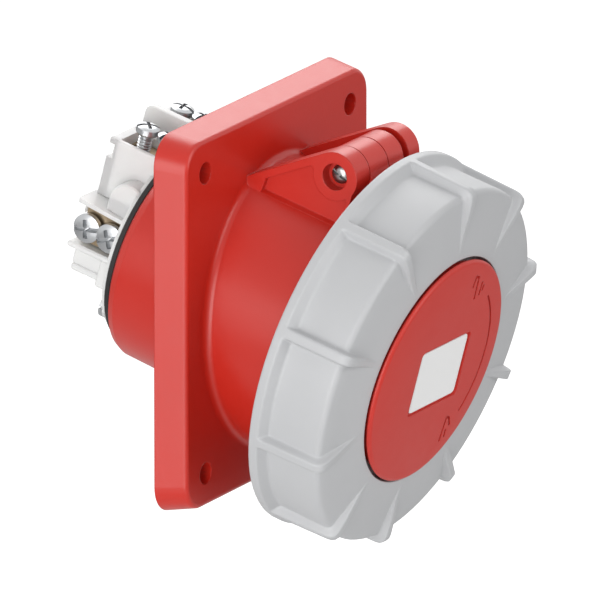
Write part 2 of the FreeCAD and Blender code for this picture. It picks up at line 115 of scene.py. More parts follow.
# Moulded surface: spark-eroded grain, slow gloss changes and a slight shade drift
# Noises as scale, detail and roughness; the fine one takes its scale from the material
mouldedLook = {"slow": (38.0, 3.0, 0.5), "mid": (240.0, 2.0, 0.5), "fine": (2.0, 0.6)}


def makeMouldedGroup(v):
    g, gin, gout = startGroup(
        "mouldedSurface",
        [("Colour", "NodeSocketColor", (0.5, 0.5, 0.5, 1)), ("Drift", "NodeSocketFloat", 0.06),
         ("Grain scale", "NodeSocketFloat", 2600.0), ("Grain depth", "NodeSocketFloat", 0.1),
         ("Roughness", "NodeSocketFloat", 0.4), ("Roughness drift", "NodeSocketFloat", 0.08)],
        [("Colour", "NodeSocketColor"), ("Roughness", "NodeSocketFloat"), ("Height", "NodeSocketFloat")],
    )
    where = g.nodes.new("ShaderNodeTexCoord").outputs["Object"]
    slow = noiseNode(g, where, *v["slow"])
    fine = noiseNode(g, where, gin.outputs["Grain scale"], *v["fine"])
    mid = noiseNode(g, where, *v["mid"])
    shade = mathNode(g, "MULTIPLY", mathNode(g, "SUBTRACT", slow, 0.5), gin.outputs["Drift"])
    hsv = g.nodes.new("ShaderNodeHueSaturation")
    g.links.new(mathNode(g, "ADD", shade, 1.0), hsv.inputs["Value"])
    g.links.new(gin.outputs["Colour"], hsv.inputs["Color"])
    g.links.new(hsv.outputs["Color"], gout.inputs["Colour"])
    wander = mathNode(g, "MULTIPLY", mathNode(g, "SUBTRACT", mid, 0.5), gin.outputs["Roughness drift"])
    g.links.new(mathNode(g, "ADD", wander, gin.outputs["Roughness"]), gout.inputs["Roughness"])
    g.links.new(mathNode(g, "MULTIPLY", fine, gin.outputs["Grain depth"]), gout.inputs["Height"])
    return g


# Metal surface: fine drawn lines along x plus plating mottle
metalLook = {"spots": (420.0, 4.0, 0.6), "stretch": (300.0, 6000.0, 6000.0), "lines": (1.0, 2.0, 0.5),
             "roughnessDrift": 0.25}


def makeMetalGroup(v):
    g, gin, gout = startGroup(
        "metalSurface",
        [("Colour", "NodeSocketColor", (0.6, 0.6, 0.6, 1)),
         ("Stain", "NodeSocketColor", (0.4, 0.38, 0.34, 1)), ("Mottle", "NodeSocketFloat", 0.3),
         ("Roughness", "NodeSocketFloat", 0.25), ("Line depth", "NodeSocketFloat", 0.3)],
        [("Colour", "NodeSocketColor"), ("Roughness", "NodeSocketFloat"), ("Height", "NodeSocketFloat")],
    )
    where = g.nodes.new("ShaderNodeTexCoord").outputs["Object"]
    spots = noiseNode(g, where, *v["spots"])
    stretch = g.nodes.new("ShaderNodeMapping")
    stretch.inputs["Scale"].default_value = v["stretch"]
    g.links.new(where, stretch.inputs["Vector"])
    lines = noiseNode(g, stretch.outputs["Vector"], *v["lines"])
    mix = g.nodes.new("ShaderNodeMix")
    mix.data_type = "RGBA"
    g.links.new(mathNode(g, "MULTIPLY", spots, gin.outputs["Mottle"]), mix.inputs["Factor"])
    g.links.new(gin.outputs["Colour"], mix.inputs["A"])
    g.links.new(gin.outputs["Stain"], mix.inputs["B"])
    g.links.new(mix.outputs["Result"], gout.inputs["Colour"])
    wander = mathNode(g, "MULTIPLY", mathNode(g, "SUBTRACT", spots, 0.5), v["roughnessDrift"])
    g.links.new(mathNode(g, "ADD", wander, gin.outputs["Roughness"]), gout.inputs["Roughness"])
    g.links.new(mathNode(g, "MULTIPLY", lines, gin.outputs["Line depth"]), gout.inputs["Height"])
    return g


mouldedGroup = makeMouldedGroup(mouldedLook)
metalGroup = makeMetalGroup(metalLook)

# Shared by all materials: bump strength and height, samples of a rounded edge, metres per unit of scatter
surfaceLook = {"bump": 0.25, "bumpHeight": 0.0002, "edgeSamples": 4, "scatterScale": 0.001}


def makeMaterial(name, group, values, fixed, v):
    mat = bpy.data.materials.new(name)
    mat.use_nodes = True
    tree = mat.node_tree
    shader = tree.nodes["Principled BSDF"]
    surface = tree.nodes.new("ShaderNodeGroup")
    surface.node_tree = group
    for key, value in values.items():
        surface.inputs[key].default_value = value
    bump = tree.nodes.new("ShaderNodeBump")
    bump.inputs["Strength"].default_value = v["bump"]
    bump.inputs["Distance"].default_value = v["bumpHeight"]
    tree.links.new(surface.outputs["Height"], bump.inputs["Height"])
    if "edge" in fixed:
        soft = tree.nodes.new("ShaderNodeBevel")
        soft.samples = v["edgeSamples"]
        soft.inputs["Radius"].default_value = fixed["edge"]
        tree.links.new(soft.outputs["Normal"], bump.inputs["Normal"])
    tree.links.new(bump.outputs["Normal"], shader.inputs["Normal"])
    tree.links.new(surface.outputs["Colour"], shader.inputs["Base Color"])
    tree.links.new(surface.outputs["Roughness"], shader.inputs["Roughness"])
    for key in ("Metallic", "Specular IOR Level"):
        if key in fixed:
            shader.inputs[key].default_value = fixed[key]
    if "scatter" in fixed:
        shader.inputs["Subsurface Weight"].default_value = fixed["scatter"]
        shader.inputs["Subsurface Radius"].default_value = fixed["scatterRadius"]
        shader.inputs["Subsurface Scale"].default_value = v["scatterScale"]
    return mat


# Each finish: surface group, values of the group, values of the shader
finishes = {
    "redShell": (mouldedGroup, {"Colour": (0.55, 0.022, 0.012, 1), "Roughness": 0.31, "Grain depth": 0.5},
                 {"Specular IOR Level": 0.5, "edge": 0.0004}),
    "redCover": (mouldedGroup, {"Colour": (0.56, 0.024, 0.014, 1), "Roughness": 0.42, "Grain depth": 0.7},
                 {"Specular IOR Level": 0.5, "edge": 0.0004}),
    "greyRing": (mouldedGroup, {"Colour": (0.495, 0.50, 0.51, 1), "Roughness": 0.44, "Grain depth": 0.6},
                 {"Specular IOR Level": 0.5}),
    "whiteInsert": (mouldedGroup, {"Colour": (0.76, 0.76, 0.75, 1), "Roughness": 0.42, "Grain depth": 0.3},
                    {"Specular IOR Level": 0.5, "scatter": 0.4, "scatterRadius": (3.0, 3.0, 2.8)}),
    "blackRubber": (mouldedGroup, {"Colour": (0.018, 0.017, 0.017, 1), "Roughness": 0.62, "Grain depth": 0.8},
                    {"Specular IOR Level": 0.4}),
    "labelPlate": (mouldedGroup, {"Colour": (0.88, 0.88, 0.875, 1), "Roughness": 0.34, "Grain depth": 0.1},
                   {"Specular IOR Level": 0.5}),
    "brass": (metalGroup, {"Colour": (0.46, 0.36, 0.24, 1), "Stain": (0.26, 0.17, 0.10, 1),
                           "Roughness": 0.36}, {"Metallic": 1.0}),
    "zincSteel": (metalGroup, {"Colour": (0.56, 0.57, 0.58, 1), "Stain": (0.3, 0.31, 0.33, 1),
                               "Roughness": 0.34}, {"Metallic": 1.0}),
    "springSteel": (metalGroup, {"Colour": (0.42, 0.42, 0.43, 1), "Roughness": 0.3}, {"Metallic": 1.0}),
    "pinSteel": (metalGroup, {"Colour": (0.36, 0.36, 0.36, 1), "Stain": (0.25, 0.25, 0.25, 1),
                              "Roughness": 0.3}, {"Metallic": 1.0}),
}
materials = {}
for finishName, (group, values, fixed) in finishes.items():
    materials[finishName] = makeMaterial(finishName, group, values, fixed, surfaceLook)

wears = {
    "redShell": ("housing", "lid_carrier"),
    "redCover": ("lid_cover",),
    "greyRing": ("bayonet_ring",),
    "whiteInsert": ("contact_carrier", "terminal_block"),
    "blackRubber": ("flange_seal", "rear_seal", "lid_seal"),
    "labelPlate": ("label",),
    "brass": ("contact_l1", "contact_l2", "contact_l3", "contact_n", "contact_pe", "pilot_contact"),
    "zincSteel": ("terminal_screws", "carrier_screws", "pilot_screw"),
    "springSteel": ("phase_clips", "earth_clip"),
    "pinSteel": ("hinge_pin",),
}
for finishName, names in wears.items():
    for n in names:
        nodes[n].data.materials.clear()
        nodes[n].data.materials.append(materials[finishName])
print("materials made,", len(materials))


# Socket axes: x to the right, v up along the lid, s outwards along the axis, all in mm
tilt = math.radians(15.0)
metresPerMm = 0.001


def fromSocket(x, v, s):
    y = -math.sin(tilt) * v - math.cos(tilt) * s
    z = math.cos(tilt) * v - math.sin(tilt) * s
    return Vector((x, y, z)) * metresPerMm


def polar(r, angle, s):
    return fromSocket(r * math.cos(angle), r * math.sin(angle), s)


# Cosine and sine at even steps round a full turn
def aroundCircle(sides):
    turns = [math.radians(360.0 * k / sides) for k in range(sides)]
    return [(math.cos(a), math.sin(a)) for a in turns]


def softStep(t):
    t = min(1.0, max(0.0, t))
    return t * t * (3.0 - 2.0 * t)


# A corner drawn as a curve from start to end, pulled towards the corner itself
def softCorner(start, corner, end, steps):
    turn = []
    for k in range(steps + 1):
        t = k / steps
        turn.append(tuple(start * (1 - t) ** 2 + corner * (2 * t * (1 - t)) + end * t ** 2))
    return turn


# Rounds the inner corners of a line of (r, s) points, the same number of points for each corner
def softLine(points, radii, steps, sideShare=0.45):
    line = [points[0]]
    for i in range(1, len(points) - 1):
        here = Vector(points[i])
        before = Vector(points[i - 1]) - here
        after = Vector(points[i + 1]) - here
        start = here + before.normalized() * min(radii[i], before.length * sideShare)
        end = here + after.normalized() * min(radii[i], after.length * sideShare)
        line += softCorner(start, here, end, steps)
    line.append(points[-1])
    return line


# Faces between rows of points, each row a closed loop
def gridFaces(rows, columns, closeRows=False):
    faces = []
    for i in range(rows if closeRows else rows - 1):
        for j in range(columns):
            i2 = (i + 1) % rows
            j2 = (j + 1) % columns
            faces.append((i * columns + j, i * columns + j2, i2 * columns + j2, i2 * columns + j))
    return faces


# The same with its first and its last loop closed by one face each
def tubeFaces(rows, columns):
    faces = gridFaces(rows, columns)
    faces.append(tuple(range(columns)))
    faces.append(tuple((rows - 1) * columns + i for i in range(columns)))
    return faces


def joinPart(points, faces, morePoints, moreFaces):
    base = len(points)
    points.extend(morePoints)
    faces.extend(tuple(base + i for i in f) for f in moreFaces)


# A mesh with all its faces turned outwards
def outwardMesh(name, points, faces):
    mesh = bpy.data.meshes.new(name)
    mesh.from_pydata(points, [], faces)
    mesh.validate()
    bm = bmesh.new()
    bm.from_mesh(mesh)
    bmesh.ops.recalc_face_normals(bm, faces=bm.faces)
    bm.to_mesh(mesh)
    bm.free()
    return mesh


def makePiece(name, points, faces, finish, body, crisp=None):
    mesh = outwardMesh(name, points, faces)
    mesh.shade_smooth()
    if crisp:
        mesh.set_sharp_from_angle(angle=math.radians(crisp))
    mesh.materials.append(materials[finish])
    piece = newObject(name, mesh)
    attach(piece, body)
    return piece


# Bayonet ring: one closed skin, its section blended between the panels and the ribs
ringShape = {
    "ribs": 10, "firstRib": 90.0, "ribHalfWide": 1.65, "ribHalfNarrow": 0.8, "wideAt": 52.0, "narrowAt": 36.0,
    # Columns across a rib, in half widths, where its flanks fall off, and columns on a panel
    "ribColumns": (-1.6, -1.3, -1.15, -1.0, -0.85, -0.7, -0.35, 0.0, 0.35, 0.7, 0.85, 1.0, 1.15, 1.3, 1.6),
    "flankFrom": 0.75, "flankWide": 0.5, "panelColumns": 7, "cornerSteps": 4,
    "pegAngle": 270.0, "trackSpan": 30.0, "trackMargin": 4.0, "trackDepth": 1.2, "trackS": 54.02,
    "trackNear": 0.005,
    "ramps": (16.0, 196.0), "rampTurn": 24.0, "rampSteps": 14, "rampInner": 41.8, "rampOuter": 49.4,
    "rampFrom": 37.2, "rampTo": 41.3, "rampChamfer": 0.3, "leadDrop": 1.2, "leadSteps": 3.0,
    # Each row: panel section (r, s), rib section, corner radius of each; rows at trackS sink in the track
    "section": [
        ((49.0, 45.0), (49.0, 45.0), 0.0, 0.0),
        ((49.0, 36.5), (49.0, 36.5), 0.4, 0.4),
        ((54.75, 36.5), (54.75, 36.5), 0.7, 0.7),
        ((54.75, 38.0), (54.78, 38.0), 0.5, 0.5),
        ((54.75, 39.3), (54.8, 39.3), 0.5, 0.5),
        ((52.0, 41.2), (54.75, 41.2), 0.7, 0.7),
        ((52.05, 48.0), (54.6, 48.0), 2.0, 2.0),
        ((52.1, 57.45), (54.3, 59.8), 1.7, 3.0),
        ((45.4, 58.4), (47.2, 59.95), 1.5, 1.5),
        ((41.6, 58.95), (41.8, 59.7), 1.5, 1.5),
        ((38.0, 59.5), (38.0, 59.7), 1.0, 1.0),
        ((35.8, 59.85), (35.8, 59.88), 0.6, 0.6),
        ((33.3, 60.2), (33.3, 60.2), 0.35, 0.35),
        ((33.2, 55.4), (33.2, 55.4), 0.3, 0.3),
        ((29.27, 55.4), (29.27, 55.4), 0.3, 0.3),
        ((29.27, 54.0), (29.27, 54.0), 0.3, 0.3),
        ((39.4, 54.0), (39.4, 54.0), 0.05, 0.05),
        ((39.4, 54.02), (39.4, 54.02), 0.0, 0.0),
        ((43.6, 54.02), (43.6, 54.02), 0.0, 0.0),
        ((43.6, 54.0), (43.6, 54.0), 0.05, 0.05),
        ((49.0, 54.0), (49.0, 54.0), 0.5, 0.5),
        ((49.0, 45.0), (49.0, 45.0), 0.0, 0.0),
    ],
}


# One inner ramp, with a lead-in at its first end
def rampPart(v, start):
    inner = v["rampInner"]
    outer = v["rampOuter"]
    low = v["rampFrom"]
    high = v["rampTo"]
    c = v["rampChamfer"]
    points = []
    for k in range(v["rampSteps"] + 1):
        a = math.radians(start + v["rampTurn"] * k / v["rampSteps"])
        drop = v["leadDrop"] * (1 - softStep(k / v["leadSteps"]))
        section = ((outer, low), (inner + c, low), (inner, low + c),
                   (inner, high - c - drop), (inner + c, high - drop), (outer, high - drop))
        points += [polar(r, a, s) for r, s in section]
    return points, tubeFaces(v["rampSteps"] + 1, len(section))


def makeRing(v):
    panelCorners, ribCorners, panelRadii, ribRadii = zip(*v["section"])
    panelLine = softLine(panelCorners, panelRadii, v["cornerSteps"])[:-1]
    ribLine = softLine(ribCorners, ribRadii, v["cornerSteps"])[:-1]
    pitch = 360.0 / v["ribs"]
    points = []
    for (pr, ps), (rr, rs) in zip(panelLine, ribLine):
        share = (max(v["narrowAt"], min(v["wideAt"], pr)) - v["narrowAt"]) / (v["wideAt"] - v["narrowAt"])
        half = v["ribHalfNarrow"] + (v["ribHalfWide"] - v["ribHalfNarrow"]) * share
        halfTurn = math.degrees(half / max(pr, v["narrowAt"]))
        inTrack = abs(ps - v["trackS"]) < v["trackNear"]
        for i in range(v["ribs"]):
            centre = v["firstRib"] + i * pitch
            turnsHere = [(centre + t * halfTurn, 1.0 - softStep((abs(t) - v["flankFrom"]) / v["flankWide"]))
                         for t in v["ribColumns"]]
            first = centre + v["ribColumns"][-1] * halfTurn
            last = centre + pitch + v["ribColumns"][0] * halfTurn
            turnsHere += [(first + (last - first) * k / (v["panelColumns"] + 1), 0.0)
                          for k in range(1, v["panelColumns"] + 1)]
            for angle, w in turnsHere:
                s = ps + (rs - ps) * w
                fromPeg = (angle - v["pegAngle"] + v["trackMargin"]) % 360.0
                if inTrack and fromPeg < v["trackSpan"] + 2 * v["trackMargin"]:
                    s += v["trackDepth"]
                points.append(polar(pr + (rr - pr) * w, math.radians(angle), s))
    faces = gridFaces(len(panelLine), len(points) // len(panelLine), True)
    for start in v["ramps"]:
        joinPart(points, faces, *rampPart(v, start))
    ring = makePiece("ringSkin", points, faces, "greyRing", "ring")
    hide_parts("bayonet_ring")


makeRing(ringShape)
print("bayonet ring made")


# Slotted heads of clamp screws and hinge pin: rings of points inside and near the rim, and how finely
# the walls of a slot and the head between its arms are divided
headSteps = {
    "rings": (0.3, 0.75, 1.2, 1.7), "crossStep": 0.05, "rimClear": 0.3, "rimBand": 0.25, "rimStep": 0.35,
    "rimRings": 4, "sineMost": 0.68, "wallWide": 0.06, "wallMost": 1.2, "gapSteps": 4,
}


# A slotted dome and the rows below it, as one closed skin about z
def slottedTurning(v, top, crossed, rest):
    steps = headSteps
    full = v["headR"]
    rings = [*steps["rings"], v["crossReach"] - steps["crossStep"], v["crossReach"] + steps["crossStep"]]
    rings = [r for r in rings if r < full - steps["rimClear"]] + [full]
    rings += [full - steps["rimBand"] - steps["rimStep"] * k for k in range(steps["rimRings"])]
    floor = top - v["recess"]
    rows = [(r, top - v["crown"] * (r / full) ** 3, True) for r in sorted(set(rings))]
    rows += [(r, z, False) for r, z in rest]
    points = []
    for r, z, onHead in rows:
        flank = math.degrees(math.asin(min(steps["sineMost"], v["slotHalf"] / r)))
        edge = min(steps["wallMost"], math.degrees(steps["wallWide"] / r))
        gap = 90.0 - 2 * (flank + edge)
        inner = (-flank + edge, 0.0, flank - edge)
        outer = [flank + edge + gap * k / steps["gapSteps"] for k in range(steps["gapSteps"] + 1)]
        for arm in range(4):
            carved = onHead and (arm % 2 == 0 or (crossed and r < v["crossReach"]))
            for turns, height in ((inner, min(z, floor) if carved else z), (outer, z)):
                for turn in turns:
                    a = math.radians(arm * 90.0 + turn)
                    points.append((r * math.cos(a), r * math.sin(a), height))
    return points, tubeFaces(len(rows), len(points) // len(rows))


# Clamp screws: pan heads with a slot and a cross, ridged shanks below
screwShape = {
    "headR": 3.9, "headHigh": 2.6, "skirt": 1.5, "chamferIn": 0.25, "chamferUp": 0.3, "crown": 0.8,
    "slotHalf": 0.6, "crossReach": 2.5, "recess": 1.9, "crisp": 32,
    "threadR": 2.45, "rootR": 2.05, "pitch": 0.8, "neck": 0.3, "ridgeFrom": 0.3, "ridgeTo": 0.42,
    "tip": 3.9, "tipHigh": 0.4, "tipR": 1.6,
    # Each pair: wire centre (x, v), where the two screws stand along the axis, the way they face,
    # seat height, spins, scale across the screw
    "pairs": [
        ((-13.6, 4.8), (-33.7, -41.0), (-1, 0), 6.6, (62, 75), 1.06),
        ((-7.4, 19.4), (-30.3, -37.2), (0, 1), 12.4, (20, 48), 0.84),
        ((10.3, 19.4), (-30.3, -37.2), (0, 1), 13.4, (10, 84), 0.84),
        ((13.6, 4.8), (-33.7, -41.0), (1, 0), 6.6, (33, 57), 1.06),
        ((7.0, -15.2), (-31.1, -38.4), (0, -1), 6.4, (70, 15), 0.92),
    ],
}


def makeScrews(v):
    points = []
    faces = []
    for (x, up), stands, (wx, wv), seat, spins, scale in v["pairs"]:
        rest = [(v["headR"], seat + v["skirt"]), (v["headR"], seat + v["chamferUp"]),
                (v["headR"] - v["chamferIn"], seat), (v["rootR"], seat)]
        z = seat - v["neck"]
        while z > v["tip"] + v["pitch"]:
            rest += [(v["rootR"], z), (v["threadR"], z - v["ridgeFrom"]), (v["threadR"], z - v["ridgeTo"])]
            z -= v["pitch"]
        rest += [(v["rootR"], v["tip"] + v["tipHigh"]), (v["tipR"], v["tip"])]
        local, localFaces = slottedTurning(v, seat + v["headHigh"], True, rest)
        for s, spin in zip(stands, spins):
            c = math.cos(math.radians(spin))
            n = math.sin(math.radians(spin))
            placed = []
            for a, b, height in local:
                p = (a * c - b * n) * scale
                q = (a * n + b * c) * scale
                placed.append(fromSocket(x + wx * height + abs(wv) * p,
                                         up + wv * height + abs(wx) * p, s + q))
            joinPart(points, faces, placed, localFaces)
    screws = makePiece("clampScrews", points, faces, "zincSteel", "base", v["crisp"])
    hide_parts("terminal_screws")


makeScrews(screwShape)

# Hinge pin: along x through both ears, its slot at the left end
pinShape = {
    "headR": 2.67, "domeHigh": 1.3, "crown": 0.9, "slotHalf": 0.42, "crossReach": 1.0, "recess": 1.2,
    "top": 14.5, "end": -14.2, "endChamfer": 0.3, "v": 48.3, "s": 25.5, "spin": -14.0, "crisp": 32,
}


def makeHingePin(v):
    rest = [(v["headR"], v["top"] - v["domeHigh"]), (v["headR"], v["end"] + v["endChamfer"]),
            (v["headR"] - v["endChamfer"], v["end"])]
    local, faces = slottedTurning(v, v["top"], False, rest)
    c = math.cos(math.radians(v["spin"]))
    n = math.sin(math.radians(v["spin"]))
    points = [fromSocket(-z, v["v"] + a * n + b * c, v["s"] + a * c - b * n) for a, b, z in local]
    pin = makePiece("hingePinSkin", points, faces, "pinSteel", "base", v["crisp"])
    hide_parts("hinge_pin")


makeHingePin(pinShape)
print("screws and hinge pin made")


# White insert: chambers made of walls, in mm along x, v and s, the corners chamfered
insertShape = {
    "chamfer": 0.45, "inset": 0.3, "crisp": 25,
    "disc": 27.4, "discFrom": -29.8, "discTo": -28.45, "discSides": 72,
    "bossR": 5.7, "bossV": 15.2, "bossS": -32.2, "bossLimit": -28.7, "bossX": (13.6, 19.6), "bossInset": 0.5,
    "bossSides": 40,
    "footX": 18.6, "footV": -15.2, "footR": 3.4, "footS": -30.7, "footChamfer": 0.4, "footSunk": 0.1,
    "footSides": 36,
    # Walls of the middle, the upper chambers and the lower one: x from, x to, v from, v to, s from, s to
    "walls": [
        (-12.3, 12.3, -11.2, 14.0, -43.8, -28.8),
        (-2.4, -0.8, 12.2, 29.1, -44.3, -28.75),
        (-13.7, -1.0, 12.3, 14.6, -44.2, -28.7),
        (15.2, 17.4, 12.1, 30.4, -44.2, -28.75),
        (2.8, 17.5, 12.2, 30.6, -44.3, -42.2),
        (2.9, 17.2, 12.3, 14.6, -44.1, -28.7),
        (0.9, 2.1, -23.8, -9.0, -42.7, -28.8),
        (12.1, 13.2, -23.8, -9.0, -42.7, -28.8),
        (-5.0, 1.5, -22.2, -13.4, -34.8, -28.8),
    ],
    # Walls with a stepped or rounded outline in v and s: x from, x to, outline
    "plates": [
        (-14.0, -12.4, [(12.0, -28.8), (29.2, -28.8), (29.2, -44.5), (27.9, -44.5), (27.9, -42.6),
                        (23.6, -42.6), (23.6, -44.5), (12.0, -44.5)]),
        (-13.9, -0.9, [(12.1, -41.9), (29.1, -41.9), (29.1, -44.4), (28.0, -44.4), (28.0, -42.65),
                       (23.5, -42.65), (23.5, -44.4), (12.1, -44.4)]),
        (2.6, 5.2, [(12.0, -28.8), (35.0, -28.8), (35.0, -42.4), (34.7, -43.4), (33.9, -44.2),
                    (32.8, -44.5), (12.0, -44.5)]),
    ],
    # Walls of the side chambers, made on both sides
    "sideWalls": [
        (12.0, 22.4, -2.2, -0.5, -45.6, -28.8),
        (12.0, 17.2, -2.2, 12.0, -45.4, -44.5),
        (12.0, 21.8, -2.2, 12.0, -30.7, -28.8),
        (10.0, 17.6, -8.6, -1.0, -45.2, -28.8),
        (10.0, 17.6, -10.6, -8.4, -45.2, -36.2),
        (13.8, 19.4, 11.0, 15.4, -38.0, -28.8),
        (11.4, 21.8, -10.2, -2.0, -34.8, -28.8),
    ],
    # The sloping upper lip of each side chamber, as an outline in v and s
    "lipX": (12.0, 21.4), "lip": [(10.9, -45.7), (12.2, -45.7), (11.0, -28.75), (9.9, -28.75)],
    # Mouths for the wires, cut into the rear walls: x, v, how deep in s
    "mouths": [(-7.4, 19.4, -41.6), (10.3, 19.4, -41.6), (-13.6, 4.8, -31.5), (13.6, 4.8, -31.5)],
    "mouthR": 4.1, "mouthFrom": -48.0, "mouthSides": 40,
}


# The chamfer takes at most a share of the shortest side
def chamferedBlock(x0, x1, v0, v1, s0, s1, chamfer, sideShare=0.4, flatAngle=0.01):
    c = min(chamfer, sideShare * (x1 - x0), sideShare * (v1 - v0), sideShare * (s1 - s0))
    bm = bmesh.new()
    for x, dx in ((x0, c), (x1, -c)):
        for v, dv in ((v0, c), (v1, -c)):
            for s, ds in ((s0, c), (s1, -c)):
                bm.verts.new((x + dx, v + dv, s))
                bm.verts.new((x + dx, v, s + ds))
                bm.verts.new((x, v + dv, s + ds))
    bmesh.ops.convex_hull(bm, input=bm.verts)
    bmesh.ops.dissolve_limit(bm, angle_limit=flatAngle, verts=bm.verts, edges=bm.edges)
    bm.verts.index_update()
    points = [tuple(corner.co) for corner in bm.verts]
    faces = [tuple(corner.index for corner in f.verts) for f in bm.faces]
    bm.free()
    return points, faces


# A flat outline in v and s, drawn out along x, its two ends inset
def drawnOutline(outline, x0, x1, c):
    n = len(outline)
    cv = sum(v for v, s in outline) / n
    cs = sum(s for v, s in outline) / n
    rows = ((x0, c), (x0 + c, 0.0), (x1 - c, 0.0), (x1, c))
    points = []
    for x, inset in rows:
        for v, s in outline:
            far = math.hypot(v - cv, s - cs)
            points.append((x, v - (v - cv) * inset / far, s - (s - cs) * inset / far))
    return points, tubeFaces(len(rows), n)


# One wall with the wire mouths that meet it cut out
def pierced(part, v):
    xs = [q[0] for q in part[0]]
    ups = [q[1] for q in part[0]]
    for x, up, deep in v["mouths"]:
        apart = max(min(xs) - x, x - max(xs), min(ups) - up, up - max(ups))
        if apart > v["mouthR"] or min(q[2] for q in part[0]) > deep:
            continue
        ring = [(x + v["mouthR"] * c, up + v["mouthR"] * n) for c, n in aroundCircle(v["mouthSides"])]
        drill = [(a, b, s) for s in (v["mouthFrom"], deep) for a, b in ring]
        wall = newObject("loose", outwardMesh("loose", *part))
        cutter = newObject("loose", outwardMesh("loose", drill, tubeFaces(2, v["mouthSides"])))
        cut = wall.modifiers.new("mouth", "BOOLEAN")
        cut.operation = "DIFFERENCE"
        cut.solver = "EXACT"
        cut.object = cutter
        done = wall.evaluated_get(bpy.context.evaluated_depsgraph_get()).to_mesh()
        part = ([tuple(q.co) for q in done.vertices], [tuple(f.vertices) for f in done.polygons])
        for loose in (wall, cutter):
            mesh = loose.data
            bpy.data.objects.remove(loose)
            bpy.data.meshes.remove(mesh)
    return part


def makeInsert(v):
    points = []
    faces = []

    def add(part, flip=1):
        part = pierced(([(x * flip, up, s) for x, up, s in part[0]], part[1]), v)
        joinPart(points, faces, [fromSocket(x, up, s) for x, up, s in part[0]], part[1])

    for wall in v["walls"]:
        add(chamferedBlock(*wall, v["chamfer"]))
    for x0, x1, outline in v["plates"]:
        add(drawnOutline(outline, x0, x1, v["inset"]))
    boss = [(v["bossV"] + v["bossR"] * c, min(v["bossLimit"], v["bossS"] + v["bossR"] * n))
            for c, n in aroundCircle(v["bossSides"])]
    footRows = ((v["footR"] - v["footChamfer"], v["footS"]), (v["footR"], v["footS"] + v["footChamfer"]),
                (v["footR"], v["discTo"] - v["footSunk"]))
    foot = [(v["footX"] + r * c, v["footV"] + r * n, s)
            for r, s in footRows for c, n in aroundCircle(v["footSides"])]
    for flip in (-1, 1):
        for wall in v["sideWalls"]:
            add(chamferedBlock(*wall, v["chamfer"]), flip)
        add(drawnOutline(boss, *v["bossX"], v["bossInset"]), flip)
        add(drawnOutline(v["lip"], *v["lipX"], v["inset"]), flip)
        add((foot, tubeFaces(len(footRows), v["footSides"])), flip)
    disc = [(v["disc"] * c, v["disc"] * n, s)
            for s in (v["discFrom"], v["discTo"]) for c, n in aroundCircle(v["discSides"])]
    add((disc, tubeFaces(2, v["discSides"])))
    insert = makePiece("insertSkin", points, faces, "whiteInsert", "base", v["crisp"])
    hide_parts("terminal_block")


makeInsert(insertShape)
print("white insert made")


# Cover and plate: a disc with an undercut edge, sunk marks, a sunk arc and a seat for the plate
coverShape = {
    "flatR": 31.5, "front": 61.6, "columns": 120, "weld": 1e-6, "crisp": 32,
    "strokeHalf": 0.36, "markDepth": 0.5, "seatGap": 0.8, "seatDepth": 0.6,
    "arcR": 26.5, "arcHalf": 0.34, "arcTurn": 42.0, "arcSteps": 24, "arcDepth": 0.45,
    # From the flat front round the edge to the back: r, s
    "edge": [(31.9, 61.52), (32.25, 61.35), (32.5, 61.1), (32.66, 60.8), (32.68, 60.5), (32.5, 60.25),
             (31.9, 60.1), (31.3, 60.0), (31.2, 57.9)],
    "marks": [
        [(9.2, 22.9), (9.9, 26.2), (11.5, 25.6), (11.7, 18.8)],
        [(14.3, 23.6), (13.9, 19.5)],
        [(15.6, 22.3), (15.2, 20.6)],
        [(16.2, -21.2), (15.0, -18.5), (13.4, -17.9), (12.3, -25.1)],
        [(14.6, -21.9), (14.6, -24.4)],
    ],
}
plateShape = {"corners": [(-10.1, 7.7), (14.2, 7.7), (14.2, -10.5), (-10.1, -10.5)], "round": 1.5,
              "low": 61.02, "high": 61.3, "chamfer": 0.1, "crisp": 32}


# The outline of a stroke along a line of points; cosineLeast keeps a sharp bend from growing a spike
def strokeLoop(line, half, cosineLeast=0.4):
    left = []
    right = []
    for i, (x, v) in enumerate(line):
        here = Vector((x, v))
        before = Vector(line[max(i - 1, 0)])
        after = Vector(line[min(i + 1, len(line) - 1)])
        along = (after - before).normalized()
        reach = half
        if 0 < i < len(line) - 1:
            one = (here - before).normalized()
            two = (after - here).normalized()
            along = (one + two).normalized()
            reach = half / max(cosineLeast, along.dot(one))
        left.append((x - along.y * reach, v + along.x * reach))
        right.append((x + along.y * reach, v - along.x * reach))
    return left + right[::-1]


# A loop with round corners, grown outwards; the corners go further out than the sides
def roundedLoop(corners, radius, grow, cornerShare=1.35, steps=5):
    loop = []
    count = len(corners)
    centre = Vector((sum(x for x, v in corners) / count, sum(v for x, v in corners) / count))
    for i in range(count):
        here = Vector(corners[i])
        before = Vector(corners[i - 1]) - here
        after = Vector(corners[(i + 1) % count]) - here
        here = here + (here - centre).normalized() * grow * cornerShare
        start = here + before.normalized() * radius
        end = here + after.normalized() * radius
        loop += softCorner(start, here, end, steps)
    return loop


def inLoop(x, v, loop):
    found = False
    for i in range(len(loop)):
        x0, v0 = loop[i - 1]
        x1, v1 = loop[i]
        if (v0 > v) != (v1 > v) and x < (x1 - x0) * (v - v0) / (v1 - v0) + x0:
            found = not found
    return found


